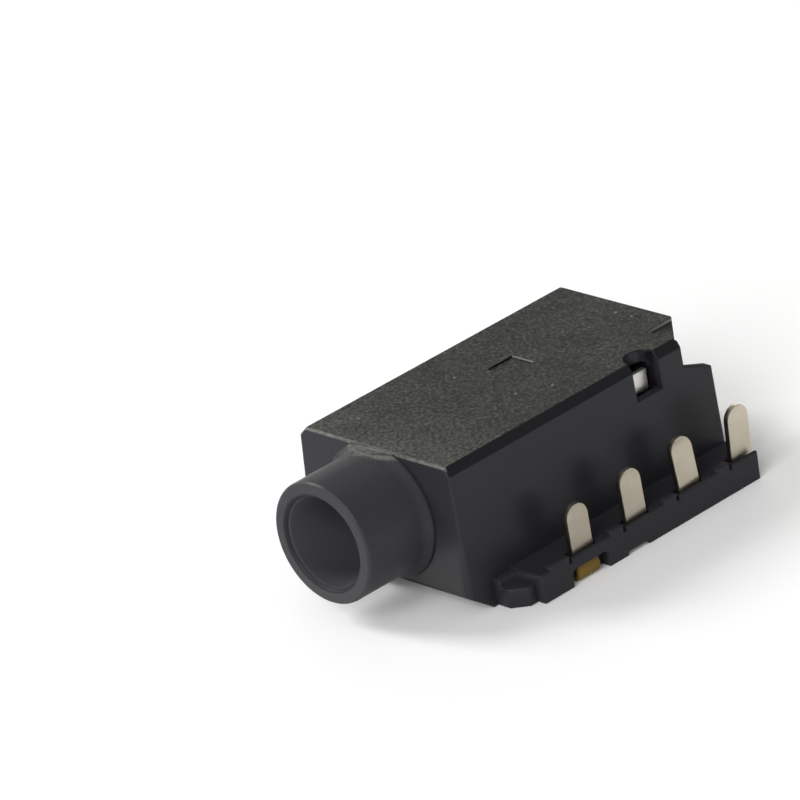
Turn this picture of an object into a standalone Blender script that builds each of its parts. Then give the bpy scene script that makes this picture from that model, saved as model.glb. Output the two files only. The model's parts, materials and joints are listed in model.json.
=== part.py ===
"""Surface-mount socket for a 3.5 mm audio plug: one moulded housing and six sprung contacts.

Metres, +Z up. The mouth faces -Y, X = 0 is the middle plane of the bore and Z = 0 is the
underside that rests on the board. The origin is the bottom centre of the whole socket.
"""

import math

import bmesh
import bpy
from mathutils import Vector

MM = 0.001

# Block of the housing
BODY_HEIGHT = 5.98 * MM
BODY_TOP_WIDTH = 7.2 * MM
BODY_SHOULDER_WIDTH = 7.66 * MM
BODY_BASE_WIDTH = 8.34 * MM
SHOULDER_DROP = 0.35 * MM
BODY_RIM = 0.1 * MM
LEFT_FULLNESS = 0.13 * MM
NOSE_LENGTH = 1.0 * MM
NOSE_HEIGHT = 0.72 * MM

# Barrel, collar and bore
AXIS_DROP = 2.52 * MM
BARREL_REACH = 3.2 * MM
BARREL_DIAMETER = 4.88 * MM
BARREL_RIM = 0.14 * MM
COLLAR_DIAMETER = 5.44 * MM
COLLAR_LENGTH = 0.12 * MM
COLLAR_FLARE = 0.45 * MM
COLLAR_STEP = 0.02 * MM
BORE_DIAMETER = 3.6 * MM
BORE_DEPTH = 14.5 * MM
LEAD_IN = 0.15 * MM

# Wings with their pads, rails and nibs
WING_SPAN = 11.42 * MM
WING_HEIGHT = 1.16 * MM
WING_SETBACK = 2.1 * MM
PAD_INSET = 0.38 * MM
PAD_HEIGHT = 0.78 * MM
PAD_SETBACK = 1.18 * MM
PAD_CORNER = 0.56 * MM
RIB_WIDTH = 0.22 * MM
RIB_HEIGHT = 1.08 * MM
RAIL_WIDTH = 0.33 * MM
NIB_HEIGHT = 0.17 * MM
NIB_LENGTH = 0.7 * MM
NIB_TO_CONTACT = 0.99 * MM
FIRST_NIB_SETBACK = 0.44 * MM
NOTCH_LENGTH = 0.14 * MM
NOTCH_DEPTH = 0.16 * MM

# Contacts: bent strip, and the slots that hold it
STRIP_THICKNESS = 0.23 * MM
STRIP_WIDTH = 1.1 * MM
STRIP_CLEARANCE = 0.12 * MM
POCKET_CLEARANCE = 0.15 * MM
FIRST_CONTACT_SETBACK = 4.59 * MM
CONTACT_PITCH = 2.93 * MM
CONTACT_INSET = 0.02 * MM
BEND_RADIUS = 0.2 * MM
KINK_RADIUS = 0.18 * MM
RUN_HEIGHT = 0.49 * MM
LEG_INSET = 0.4 * MM
LEG_RISE = 0.15 * MM
INNER_LEG = 3.05 * MM

# Side contacts, front to rear: tab top and lean, how far the run lies lower and wider, and
# how far below the wing's top the leg starts and ends its step outwards
SIDE_TAB_TOPS = (2.94 * MM, 3.07 * MM, 3.09 * MM)
SIDE_TAB_LEANS = (0.06 * MM, 0.11 * MM, 0.22 * MM)
SIDE_DROPS = (0.36 * MM, 0.36 * MM, 0.0)
SIDE_SPREADS = (0.25 * MM, 0.11 * MM, 0.0)
SPREAD_START = 0.21 * MM
SPREAD_END = 0.76 * MM
SPRING_FOOT = 1.6 * MM
SPRING_BITE = 0.2 * MM
SPRING_HEAD = 3.29 * MM
SPRING_HEAD_FOOT = 1.04 * MM
SPRING_TOP = 1.86 * MM

# Rear contact: its head is drawn as offsets from the inner leg and from the bore's axis
REAR_TAB_TOP = 3.22 * MM
REAR_TAB_LEAN = -0.05 * MM
REAR_NECK_DROP = 0.9 * MM
REAR_HEAD_WIDTH = 0.65 * MM
REAR_HEAD = (
    (-0.01 * MM, -1.36 * MM),
    (-0.33 * MM, -0.51 * MM),
    (-0.32 * MM, 0.1 * MM),
    (-0.48 * MM, 0.55 * MM),
    (-0.67 * MM, 1.14 * MM),
    (-1.15 * MM, 1.44 * MM),
)

# Tip contact: a waved leg, drawn in the same way, and an arm that reaches into the bore
TIP_LEG_INSET = 0.51 * MM
TIP_INNER_LEG = 2.44 * MM
TIP_TAB_TOP = 3.0 * MM
TIP_TAB_LEAN = 0.22 * MM
TIP_WAVE = (
    (0.0, -1.96 * MM),
    (0.1 * MM, -1.46 * MM),
    (0.1 * MM, -0.74 * MM),
    (0.22 * MM, -0.42 * MM),
    (0.0, -0.1 * MM),
    (0.0, 0.84 * MM),
    (0.18 * MM, 1.16 * MM),
    (0.16 * MM, 1.74 * MM),
)
ARM_THICKNESS = 0.19 * MM
ARM_WIDTH = 0.9 * MM
ARM_BEND = 1.3 * MM
ARM_CONTACT = 2.75 * MM
ARM_END = 3.3 * MM
ARM_RETURN = 0.35 * MM

# Switch contact: a waved leaf beside the tip contact, and a bridge forward to its own leg
SWITCH_LEG = 3.11 * MM
BRIDGE_HEIGHT = 0.7 * MM
BRIDGE_LAP = 0.05 * MM
LEAF_WAVE = (
    (-0.03 * MM, -1.82 * MM),
    (-0.04 * MM, -1.5 * MM),
    (0.19 * MM, -1.04 * MM),
    (0.12 * MM, -0.4 * MM),
    (0.21 * MM, -0.08 * MM),
    (0.0, 0.12 * MM),
    (0.0, 0.9 * MM),
    (0.21 * MM, 1.2 * MM),
    (0.1 * MM, 1.4 * MM),
    (0.12 * MM, 1.77 * MM),
)

# Openings of the housing
WINDOW_CENTRE = 3.65 * MM
WINDOW_SHIFT = 0.13 * MM
WINDOW_WIDTH = 1.36 * MM
WINDOW_DEPTH = 1.48 * MM
MARK_SIZE = (1.1 * MM, 1.33 * MM)
MARK_CENTRE = (-0.39 * MM, 7.72 * MM)
MARK_DEPTH = 0.06 * MM
CORNER_LENGTH = 1.42 * MM
CORNER_SIDE = 3.54 * MM
CORNER_REAR = 2.08 * MM
CORNER_DROP = 1.69 * MM
CORNER_SLOPE = math.radians(19.5)
CORNER_PAD_DEPTH = 0.1 * MM
CORNER_PAD_LENGTH = 1.52 * MM
CORNER_PAD_EDGE = 2.3 * MM
SIDE_MOUTH_LENGTHS = (1.9 * MM, 1.15 * MM)
SIDE_MOUTH_SHIFTS = (0.04 * MM, -0.34 * MM)
SIDE_MOUTH_HEIGHTS = (0.69 * MM, 0.16 * MM)
SIDE_MOUTH_CORNERS = (0.2 * MM, 0.08 * MM)
CAVITY_DEPTH = 2.05 * MM
RIGHT_CAVITY_X = (0.5 * MM, 2.52 * MM)
RIGHT_CAVITY_DEPTHS = (3.53 * MM, 1.15 * MM)
LEFT_CAVITY_X = (-2.32 * MM, -0.49 * MM)
LEFT_CAVITY_DEPTHS = (4.02 * MM, 1.28 * MM)
LEFT_STEP_DEPTH = 0.55 * MM
LEFT_STEP_WIDTH = 0.61 * MM
LEFT_STEP_FLOOR = 0.32 * MM
LEFT_STEP_ROOF = 0.2 * MM
CAVITY_CORNER = 0.3 * MM
REAR_ROOM_SIDE = 3.45 * MM
REAR_ROOM_OVERLAP = 0.15 * MM

# Rounding of the turned and bent shapes
TURN_STEPS = 64
TAB_STEPS = 5
TAB_ARC = math.radians(80)
BEND_STEPS = 3
LONGEST_BEND = 0.45
OVERSHOOT = 1.0 * MM
WELD = 0.002 * MM

AXIS_HEIGHT = BODY_HEIGHT - AXIS_DROP
OUTER_LEG = WING_SPAN / 2 - LEG_INSET
OUTER_LEG_TOP = WING_HEIGHT + LEG_RISE
TIP_OUTER_LEG = WING_SPAN / 2 - TIP_LEG_INSET
HALF_STRIP = STRIP_THICKNESS / 2
HALF_WIDTH = STRIP_WIDTH / 2
SETBACKS = [FIRST_CONTACT_SETBACK + CONTACT_PITCH * step for step in range(4)]
BODY_LENGTH = SETBACKS[-1] + HALF_WIDTH + CONTACT_INSET
FRONT = (BARREL_REACH - BODY_LENGTH) / 2
REAR = FRONT + BODY_LENGTH
MOUTH = FRONT - BARREL_REACH
STATIONS = [FRONT + setback for setback in SETBACKS[:-1]]
REAR_STATION = FRONT + SETBACKS[-1]
SLOT_SIDE = HALF_STRIP + STRIP_CLEARANCE
SLOT_HALF_WIDTH = HALF_WIDTH + POCKET_CLEARANCE
RUN_ROOF = RUN_HEIGHT + SLOT_SIDE
RUN_FLOOR = RUN_HEIGHT - SLOT_SIDE


# Shapes

def clear_scene():
    """Removes everything that the scene holds."""
    for obj in list(bpy.data.objects):
        bpy.data.objects.remove(obj, do_unlink=True)
    for collection in list(bpy.data.collections):
        bpy.data.collections.remove(collection)


def new_collection(name, parent=None):
    """Makes a collection below the scene or below another one."""
    collection = bpy.data.collections.new(name)
    (parent or bpy.context.scene.collection).children.link(collection)
    return collection


def make_material(name, colour, roughness, metallic):
    """Makes a plain material from a colour, a roughness and a metallic value."""
    material = bpy.data.materials.new(name)
    material.use_nodes = True
    shader = material.node_tree.nodes["Principled BSDF"]
    shader.inputs["Base Color"].default_value = (*colour, 1.0)
    shader.inputs["Roughness"].default_value = roughness
    shader.inputs["Metallic"].default_value = metallic
    material.diffuse_color = (*colour, 1.0)
    return material


def add_tool(obj, collection):
    """Files a shape as a tool that is added to or cut from a part, and not as a part."""
    collection.objects.link(obj)
    obj.hide_render = True
    obj.display_type = "WIRE"
    return obj


def block(name, x, y, z):
    """Rectangular solid between a low and a high limit along each axis."""
    limits = [sorted(pair) for pair in (x, y, z)]
    shape = bmesh.new()
    bmesh.ops.create_cube(shape, size=1.0)
    bmesh.ops.scale(shape, vec=[high - low for low, high in limits], verts=shape.verts)
    mesh = bpy.data.meshes.new(name)
    shape.to_mesh(mesh)
    shape.free()
    obj = bpy.data.objects.new(name, mesh)
    obj.location = [(low + high) / 2 for low, high in limits]
    return obj


def outline(name, plane, points, low, high):
    """Solid of a flat outline, drawn in one plane and carried from low to high across it."""
    across, tilt, turn = {"XY": ("z", 0, 0), "XZ": ("y", 90, 0), "YZ": ("x", 90, 90)}[plane]
    curve = bpy.data.curves.new(name, "CURVE")
    curve.dimensions = "2D"
    curve.fill_mode = "BOTH"
    curve.extrude = abs(high - low) / 2
    spline = curve.splines.new("POLY")
    spline.points.add(len(points) - 1)
    for point, (a, b) in zip(spline.points, points):
        point.co = (a, b, 0.0, 1.0)
    spline.use_cyclic_u = True
    drawn = bpy.data.objects.new(name + "_outline", curve)
    drawn.rotation_euler = (math.radians(tilt), 0.0, math.radians(turn))
    setattr(drawn.location, across, (low + high) / 2)
    bpy.context.scene.collection.objects.link(drawn)
    bpy.context.view_layer.update()
    graph = bpy.context.evaluated_depsgraph_get()
    mesh = bpy.data.meshes.new_from_object(drawn.evaluated_get(graph))
    mesh.name = name
    obj = bpy.data.objects.new(name, mesh)
    obj.matrix_world = drawn.matrix_world.copy()
    bpy.data.objects.remove(drawn, do_unlink=True)
    bpy.data.curves.remove(curve)
    shape = bmesh.new()
    shape.from_mesh(mesh)
    bmesh.ops.remove_doubles(shape, verts=shape.verts, dist=WELD)
    bmesh.ops.dissolve_limit(
        shape, angle_limit=math.radians(0.5), verts=shape.verts, edges=shape.edges
    )
    bmesh.ops.recalc_face_normals(shape, faces=shape.faces)
    shape.to_mesh(mesh)
    shape.free()
    mesh.materials.clear()
    return obj


def rounded(points, radii, closed=False):
    """The line with its corners turned into arcs, each no longer than its two sides allow."""
    points = [Vector(point) for point in points]
    count = len(points)
    result = []
    for index, (point, radius) in enumerate(zip(points, radii)):
        if radius == 0.0 or (not closed and index in (0, count - 1)):
            result.append(point)
            continue
        back = points[index - 1] - point
        ahead = points[(index + 1) % count] - point
        reach = radius / math.tan(back.angle(ahead) / 2)
        reach = min(reach, back.length * LONGEST_BEND, ahead.length * LONGEST_BEND)
        start = point + back.normalized() * reach
        end = point + ahead.normalized() * reach
        for step in range(BEND_STEPS + 1):
            share = step / BEND_STEPS
            result.append(
                start * (1 - share) ** 2 + point * 2 * share * (1 - share) + end * share ** 2
            )
    return result


def turned(name, profile):
    """Solid turned about the bore's axis from pairs of radius and distance behind the mouth."""
    mesh = bpy.data.meshes.new(name)
    mesh.from_pydata(
        [(radius, 0.0, -depth) for radius, depth in profile],
        [(index, index + 1) for index in range(len(profile) - 1)],
        [],
    )
    obj = bpy.data.objects.new(name, mesh)
    obj.location = (0.0, MOUTH, AXIS_HEIGHT)
    obj.rotation_euler = (math.radians(90), 0.0, 0.0)
    screw = obj.modifiers.new("Turn", "SCREW")
    screw.steps = TURN_STEPS
    screw.render_steps = TURN_STEPS
    screw.use_merge_vertices = True
    screw.merge_threshold = WELD
    screw.use_smooth_shade = True
    return obj


def ribbon(name, rows, across, thickness=STRIP_THICKNESS):
    """Strip of even thickness: rows of a centre point and half a width, spread along an axis."""
    across = Vector(across)
    shape = bmesh.new()
    pairs = [
        (shape.verts.new(centre - across * half), shape.verts.new(centre + across * half))
        for centre, half in rows
    ]
    for (a, b), (c, d) in zip(pairs, pairs[1:]):
        shape.faces.new((a, b, d, c))
    mesh = bpy.data.meshes.new(name)
    shape.to_mesh(mesh)
    shape.free()
    obj = bpy.data.objects.new(name, mesh)
    solid = obj.modifiers.new("Thickness", "SOLIDIFY")
    solid.thickness = thickness
    solid.offset = 0.0
    solid.use_even_offset = True
    return obj


def combine(obj, operation, tool):
    """Adds a tool, or a whole collection of tools, to a part or cuts it away."""
    boolean = obj.modifiers.new(operation.title(), "BOOLEAN")
    boolean.operation = operation
    boolean.solver = "EXACT"
    if isinstance(tool, bpy.types.Collection):
        boolean.operand_type = "COLLECTION"
        boolean.collection = tool
    else:
        boolean.object = tool


def shade(obj, degrees):
    """Shades a part smooth, with edges steeper than the angle left sharp."""
    obj.data.shade_smooth()
    obj.data.set_sharp_from_angle(angle=math.radians(degrees))


# Contacts

def tab_rows(top, foot, y):
    """Rows of a solder tab from its full-round end down to where its sides run straight."""
    top = Vector((top[0], y, top[1]))
    down = (Vector((foot[0], y, foot[1])) - top).normalized()
    rows = []
    for step in range(TAB_STEPS + 1):
        angle = TAB_ARC * (1 - step / TAB_STEPS)
        rows.append((top + down * HALF_WIDTH * (1 - math.sin(angle)), HALF_WIDTH * math.cos(angle)))
    return rows


def contact(name, y, tab, line, side, neck=None):
    """Contact strip: a solder tab outside, a run under the wing and a line of its own inside.

    A neck gives the height above which the strip is narrower, and how wide it is there. Its
    front edge runs on straight.
    """
    leg, top, lean = tab
    tip = (leg - lean, top)
    foot = (leg, OUTER_LEG_TOP)
    run, rest = line
    shoulder = Vector(tip) + (Vector(foot) - Vector(tip)).normalized() * HALF_WIDTH
    bends = [shoulder, foot] + run
    radii = [BEND_RADIUS] * len(bends) + [KINK_RADIUS] * len(rest)
    centre = rounded(bends + rest, radii)[1:]
    rows = tab_rows(tip, foot, y)
    inside = False
    for x, z in centre:
        inside = inside or x < leg - BEND_RADIUS
        half = HALF_WIDTH
        if neck and inside and z > neck[0]:
            half = neck[1] / 2
        rows.append((Vector((x, y - HALF_WIDTH + half, z)), half))
    rows = [(Vector((side * point.x, point.y, point.z)), half) for point, half in rows]
    return ribbon(name, rows, (0.0, 1.0, 0.0))


def flat_arm(name, points, height, width, collection):
    """Flat arm that joins a contact: a line drawn in X and Y, with its width standing up."""
    rows = [(Vector((x, y, height)), width / 2) for x, y in points]
    return add_tool(ribbon(name, rows, (0.0, 0.0, 1.0), ARM_THICKNESS), collection)


def finish_contact(obj, collection, material):
    """Files a contact with the parts and gives it its metal."""
    collection.objects.link(obj)
    obj.data.materials.append(material)
    shade(obj, 30)


# Housing

def build_shell(adds):
    """Block of the housing: a drafted bar, fuller on the left, with chamfers and round ends."""
    base = BODY_BASE_WIDTH / 2
    shoulder = BODY_SHOULDER_WIDTH / 2
    top = BODY_TOP_WIDTH / 2
    shoulder_height = BODY_HEIGHT - SHOULDER_DROP
    points = [
        (-base - LEFT_FULLNESS, 0.0),
        (base, 0.0),
        (shoulder, shoulder_height),
        (top, BODY_HEIGHT),
        (-top, BODY_HEIGHT),
        (-shoulder - LEFT_FULLNESS, shoulder_height),
    ]
    shell = outline("housing", "XZ", points, FRONT, REAR)
    weights = shell.data.attributes.new("bevel_weight_edge", "FLOAT", "EDGE")
    places = [shell.matrix_world @ vertex.co for vertex in shell.data.vertices]
    for edge in shell.data.edges:
        a, b = (places[index] for index in edge.vertices)
        at_end = abs(a.y - b.y) < WELD
        underside = max(a.z, b.z) < WELD
        weights.data[edge.index].value = 1.0 if at_end and not underside else 0.0
    rim = shell.modifiers.new("Rim", "BEVEL")
    rim.width = BODY_RIM
    rim.segments = 2
    rim.limit_method = "WEIGHT"
    combine(shell, "UNION", adds)
    return shell


def add_barrel(adds, guides):
    """Barrel with a rounded rim and a collar that flares into the block, flat on top."""
    radius = BARREL_DIAMETER / 2
    collar = COLLAR_DIAMETER / 2
    root = BARREL_REACH + BODY_RIM + COLLAR_LENGTH
    profile = [(0.0, 0.0), (radius - BARREL_RIM, 0.0)]
    for step in range(1, BEND_STEPS + 1):
        angle = math.radians(90) * step / BEND_STEPS
        profile.append(
            (
                radius - BARREL_RIM * (1 - math.sin(angle)),
                BARREL_RIM * (1 - math.cos(angle)),
            )
        )
    profile += [
        (radius, BARREL_REACH - COLLAR_LENGTH - COLLAR_FLARE),
        (collar, BARREL_REACH - COLLAR_LENGTH),
        (collar, root),
        (0.0, root),
    ]
    barrel = add_tool(turned("barrel", profile), adds)
    above = block(
        "barrel_flat",
        (-COLLAR_DIAMETER, COLLAR_DIAMETER),
        (MOUTH - OVERSHOOT, FRONT + OVERSHOOT),
        (BODY_HEIGHT - COLLAR_STEP, BODY_HEIGHT + OVERSHOOT),
    )
    combine(barrel, "DIFFERENCE", add_tool(above, guides))


def add_wings(adds, guides):
    """Wings with nibs along their rails, the lower pads in front and a rib beside the block."""
    start = FRONT + WING_SETBACK
    nib_top = WING_HEIGHT + NIB_HEIGHT
    nibs = [(start + FIRST_NIB_SETBACK, STATIONS[0] - NIB_TO_CONTACT)]
    for station in STATIONS[1:] + [REAR_STATION]:
        nibs.append((station - NIB_TO_CONTACT - NIB_LENGTH, station - NIB_TO_CONTACT))
    points = [(REAR, WING_HEIGHT), (REAR, 0.0), (start, 0.0), (start, WING_HEIGHT)]
    for low, high in nibs:
        points += [(low, WING_HEIGHT), (low, nib_top), (high, nib_top), (high, WING_HEIGHT)]
    wings = outline("wings", "YZ", points, -WING_SPAN / 2, WING_SPAN / 2)
    add_tool(wings, adds)
    inner = WING_SPAN / 2 - RAIL_WIDTH
    flat = block("nib_limit", (-inner, inner), (start, REAR), (WING_HEIGHT, nib_top + OVERSHOOT))
    combine(wings, "DIFFERENCE", add_tool(flat, guides))

    pad = WING_SPAN / 2 - PAD_INSET
    pad_start = FRONT + PAD_SETBACK
    inside = start + OVERSHOOT
    points = [
        (-pad, inside),
        (-pad, pad_start + PAD_CORNER),
        (-pad + PAD_CORNER, pad_start),
        (pad - PAD_CORNER, pad_start),
        (pad, pad_start + PAD_CORNER),
        (pad, inside),
    ]
    add_tool(outline("pads", "XY", points, 0.0, PAD_HEIGHT), adds)
    rib = BODY_BASE_WIDTH / 2 + RIB_WIDTH
    ribs = block(
        "ribs",
        (-rib - LEFT_FULLNESS, rib),
        (pad_start, inside),
        (PAD_HEIGHT / 2, RIB_HEIGHT),
    )
    add_tool(ribs, adds)
    return [high for low, high in nibs]


def cut_front(cuts):
    """Bore with its lead-in, and the slope under the front edge."""
    radius = BORE_DIAMETER / 2
    profile = [
        (0.0, -OVERSHOOT),
        (radius + LEAD_IN, -OVERSHOOT),
        (radius + LEAD_IN, 0.0),
        (radius, LEAD_IN),
        (radius, BORE_DEPTH),
        (0.0, BORE_DEPTH),
    ]
    add_tool(turned("bore", profile), cuts)
    slope = NOSE_HEIGHT / NOSE_LENGTH
    points = [
        (FRONT - OVERSHOOT, -OVERSHOOT),
        (FRONT + NOSE_LENGTH + OVERSHOOT, -OVERSHOOT * slope),
        (FRONT - OVERSHOOT, NOSE_HEIGHT + OVERSHOOT * slope),
    ]
    add_tool(outline("nose", "YZ", points, -BODY_BASE_WIDTH, BODY_BASE_WIDTH), cuts)


def cut_top(cuts, guides):
    """Window over the third side contact, the sunk mark and the open rear corner."""
    centre = STATIONS[2] + WINDOW_SHIFT
    radius = WINDOW_WIDTH / 2
    points = [
        (
            WINDOW_CENTRE + radius * math.cos(math.radians(angle)),
            centre + radius * math.sin(math.radians(angle)),
        )
        for angle in range(90, 271, 20)
    ]
    edge = WINDOW_CENTRE + radius + OVERSHOOT
    points += [(edge, centre - radius), (edge, centre + radius)]
    limits = (BODY_HEIGHT - WINDOW_DEPTH, BODY_HEIGHT + OVERSHOOT)
    add_tool(outline("window", "XY", points, *limits), cuts)

    mark_x, mark_y = MARK_CENTRE
    width, length = MARK_SIZE
    mark = block(
        "mark",
        (mark_x - width / 2, mark_x + width / 2),
        (FRONT + mark_y - length / 2, FRONT + mark_y + length / 2),
        (BODY_HEIGHT - MARK_DEPTH, BODY_HEIGHT + OVERSHOOT),
    )
    add_tool(mark, cuts)

    side = BODY_BASE_WIDTH / 2 + OVERSHOOT
    back = REAR + OVERSHOOT
    top = BODY_HEIGHT + OVERSHOOT
    start = REAR - CORNER_LENGTH
    beyond = OVERSHOOT * (CORNER_SIDE - CORNER_REAR) / CORNER_LENGTH
    points = [
        (CORNER_REAR - beyond, back),
        (CORNER_SIDE, start),
        (side, start),
        (side, back),
    ]
    corner = add_tool(outline("corner", "XY", points, WING_HEIGHT, top), cuts)
    rise = math.tan(CORNER_SLOPE)
    sill = BODY_HEIGHT - CORNER_DROP
    points = [
        (back, sill - OVERSHOOT * rise),
        (back, top + OVERSHOOT),
        (start - OVERSHOOT, top + OVERSHOOT),
        (start - OVERSHOOT, sill + (CORNER_LENGTH + OVERSHOOT) * rise),
    ]
    ledge = outline("corner_ledge", "YZ", points, 0.0, side + OVERSHOOT)
    combine(corner, "INTERSECT", add_tool(ledge, guides))
    pad = block(
        "corner_pad",
        (CORNER_PAD_EDGE, side),
        (REAR - CORNER_PAD_LENGTH, back),
        (BODY_HEIGHT - CORNER_PAD_DEPTH, top),
    )
    add_tool(pad, cuts)


def cut_side_slots(cuts):
    """Channel, tab slot, leg slot and spring room of each side contact."""
    for index, station in enumerate(STATIONS):
        y = (station - SLOT_HALF_WIDTH, station + SLOT_HALF_WIDTH)
        outer = (OUTER_LEG - SLOT_SIDE, OUTER_LEG + SLOT_SIDE)
        inner = (INNER_LEG - SLOT_SIDE, INNER_LEG + SLOT_SIDE)
        room_in = BORE_DIAMETER / 2 - SPRING_BITE - HALF_STRIP - POCKET_CLEARANCE
        room = (room_in, max(SPRING_HEAD, INNER_LEG) + SLOT_SIDE)
        roof = AXIS_HEIGHT + SPRING_TOP + POCKET_CLEARANCE
        for name, x, z in (
            ("run", (inner[0], outer[1]), (-OVERSHOOT, RUN_ROOF)),
            ("tab", outer, (0.0, WING_HEIGHT + OVERSHOOT)),
            ("leg", inner, (0.0, AXIS_HEIGHT)),
            ("room", room, (SPRING_FOOT - POCKET_CLEARANCE, roof)),
        ):
            add_tool(block(f"side_{name}_{index + 1}", x, y, z), cuts)


def cut_switch_slots(cuts):
    """Channel, tab slot, leg slot and bridge room of the switch contact."""
    station = STATIONS[2]
    y = (station - SLOT_HALF_WIDTH, station + SLOT_HALF_WIDTH)
    outer = (-TIP_OUTER_LEG - SLOT_SIDE, -TIP_OUTER_LEG + SLOT_SIDE)
    inner = (-SWITCH_LEG - SLOT_SIDE, -SWITCH_LEG + SLOT_SIDE)
    low = AXIS_HEIGHT - POCKET_CLEARANCE
    high = AXIS_HEIGHT + BRIDGE_HEIGHT + POCKET_CLEARANCE
    bridge = (station - SLOT_HALF_WIDTH, REAR_STATION)
    for name, x, reach, z in (
        ("run", (outer[0], inner[1]), y, (-OVERSHOOT, RUN_ROOF)),
        ("tab", outer, y, (0.0, WING_HEIGHT + OVERSHOOT)),
        ("leg", inner, y, (0.0, high)),
        ("bridge", inner, bridge, (low, high)),
    ):
        add_tool(block("switch_" + name, x, reach, z), cuts)


def cut_rear_slots(cuts):
    """Slots that hold the rear contact and the tip contact, open at the rear face."""
    y = (REAR_STATION - SLOT_HALF_WIDTH, REAR + OVERSHOOT)
    for name, side, inner, outer in (
        ("rear", 1, INNER_LEG, OUTER_LEG),
        ("tip", -1, TIP_INNER_LEG, TIP_OUTER_LEG),
    ):
        for slot, x, z in (
            ("run", (inner - SLOT_SIDE, outer + SLOT_SIDE), (RUN_FLOOR, RUN_ROOF)),
            ("tab", (outer - SLOT_SIDE, outer + SLOT_SIDE), (RUN_FLOOR, WING_HEIGHT + OVERSHOOT)),
            ("leg", (inner - SLOT_SIDE, inner + SLOT_SIDE), (RUN_FLOOR, AXIS_HEIGHT)),
        ):
            limits = (side * x[0], side * x[1])
            add_tool(block(f"{name}_slot_{slot}", limits, y, z), cuts)


def cut_rails(cuts, nib_ends):
    """Notches behind the nibs, and the mouths of the first two channels in the right rail."""
    edge = WING_SPAN / 2
    for index, end in enumerate(nib_ends):
        for side in (-1, 1):
            notch = block(
                f"notch_{index}_{side}",
                (side * (edge - RAIL_WIDTH), side * (edge + OVERSHOOT)),
                (end, end + NOTCH_LENGTH),
                (WING_HEIGHT - NOTCH_DEPTH, WING_HEIGHT + OVERSHOOT),
            )
            add_tool(notch, cuts)
    mouths = zip(SIDE_MOUTH_LENGTHS, SIDE_MOUTH_SHIFTS, SIDE_MOUTH_HEIGHTS, SIDE_MOUTH_CORNERS)
    for station, (length, shift, height, corner) in zip(STATIONS, mouths):
        low = station + shift - length / 2
        high = low + length
        points = [(low, -OVERSHOOT), (high, -OVERSHOOT), (high, height), (low, height)]
        points = rounded(points, (0.0, 0.0, corner, corner), closed=True)
        add_tool(outline("side_mouth", "YZ", points, OUTER_LEG, edge + OVERSHOOT), cuts)


def cut_rear(cuts):
    """Hollows of the rear face: two cavities and the rooms of the contacts between them."""
    back = REAR + OVERSHOOT
    deep = (REAR - CAVITY_DEPTH, back)
    low, high = RIGHT_CAVITY_X
    floor, roof = (BODY_HEIGHT - depth for depth in RIGHT_CAVITY_DEPTHS)
    points = [(low, floor), (high, floor), (high, roof), (low, roof)]
    points = rounded(points, (0.0, 0.0, 0.0, CAVITY_CORNER), closed=True)
    add_tool(outline("right_cavity", "XZ", points, *deep), cuts)

    low, high = LEFT_CAVITY_X
    floor, roof = (BODY_HEIGHT - depth for depth in LEFT_CAVITY_DEPTHS)
    step = block("left_step", (low, high), (REAR - LEFT_STEP_DEPTH, back), (floor, roof))
    add_tool(step, cuts)
    inner = (floor + LEFT_STEP_FLOOR, roof - LEFT_STEP_ROOF)
    add_tool(block("left_cavity", (low, high - LEFT_STEP_WIDTH), deep, inner), cuts)

    y = (REAR_STATION - SLOT_HALF_WIDTH, back)
    leaf = [offset for offset, height in LEAF_WAVE]
    heights = [AXIS_HEIGHT + height for offset, height in LEAF_WAVE]
    x = (-SWITCH_LEG - max(leaf) - SLOT_SIDE, -TIP_INNER_LEG + SLOT_SIDE)
    z = (min(heights) - 2 * POCKET_CLEARANCE, max(heights) + POCKET_CLEARANCE)
    add_tool(block("leaf_room", x, y, z), cuts)

    hook, crest = REAR_HEAD[-1]
    top = AXIS_HEIGHT + crest + HALF_STRIP + POCKET_CLEARANCE
    bend = AXIS_HEIGHT + REAR_HEAD[2][1]
    x = (INNER_LEG + hook - POCKET_CLEARANCE, REAR_ROOM_SIDE)
    add_tool(block("head_room", x, y, (bend, top)), cuts)
    x = (RIGHT_CAVITY_X[1] - REAR_ROOM_OVERLAP, REAR_ROOM_SIDE)
    add_tool(block("rear_room", x, y, (WING_HEIGHT, top)), cuts)

    half = ARM_WIDTH / 2 + POCKET_CLEARANCE
    x = (-TIP_INNER_LEG - SLOT_SIDE, -BORE_DIAMETER / 2 + SPRING_BITE + SLOT_SIDE)
    y = (REAR_STATION - ARM_END - POCKET_CLEARANCE, REAR_STATION)
    add_tool(block("arm_room", x, y, (AXIS_HEIGHT - half, AXIS_HEIGHT + half)), cuts)


def build_housing(parts, tools, material):
    """Moulded housing: the added shapes joined, then every opening cut."""
    adds = new_collection("Housing additions", tools)
    cuts = new_collection("Housing cuts", tools)
    guides = new_collection("Limits", tools)
    housing = build_shell(adds)
    parts.objects.link(housing)
    add_barrel(adds, guides)
    nib_ends = add_wings(adds, guides)
    cut_front(cuts)
    cut_top(cuts, guides)
    cut_side_slots(cuts)
    cut_switch_slots(cuts)
    cut_rear_slots(cuts)
    cut_rails(cuts, nib_ends)
    cut_rear(cuts)
    combine(housing, "DIFFERENCE", cuts)
    housing.data.materials.append(material)
    shade(housing, 30)
    return housing


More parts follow.
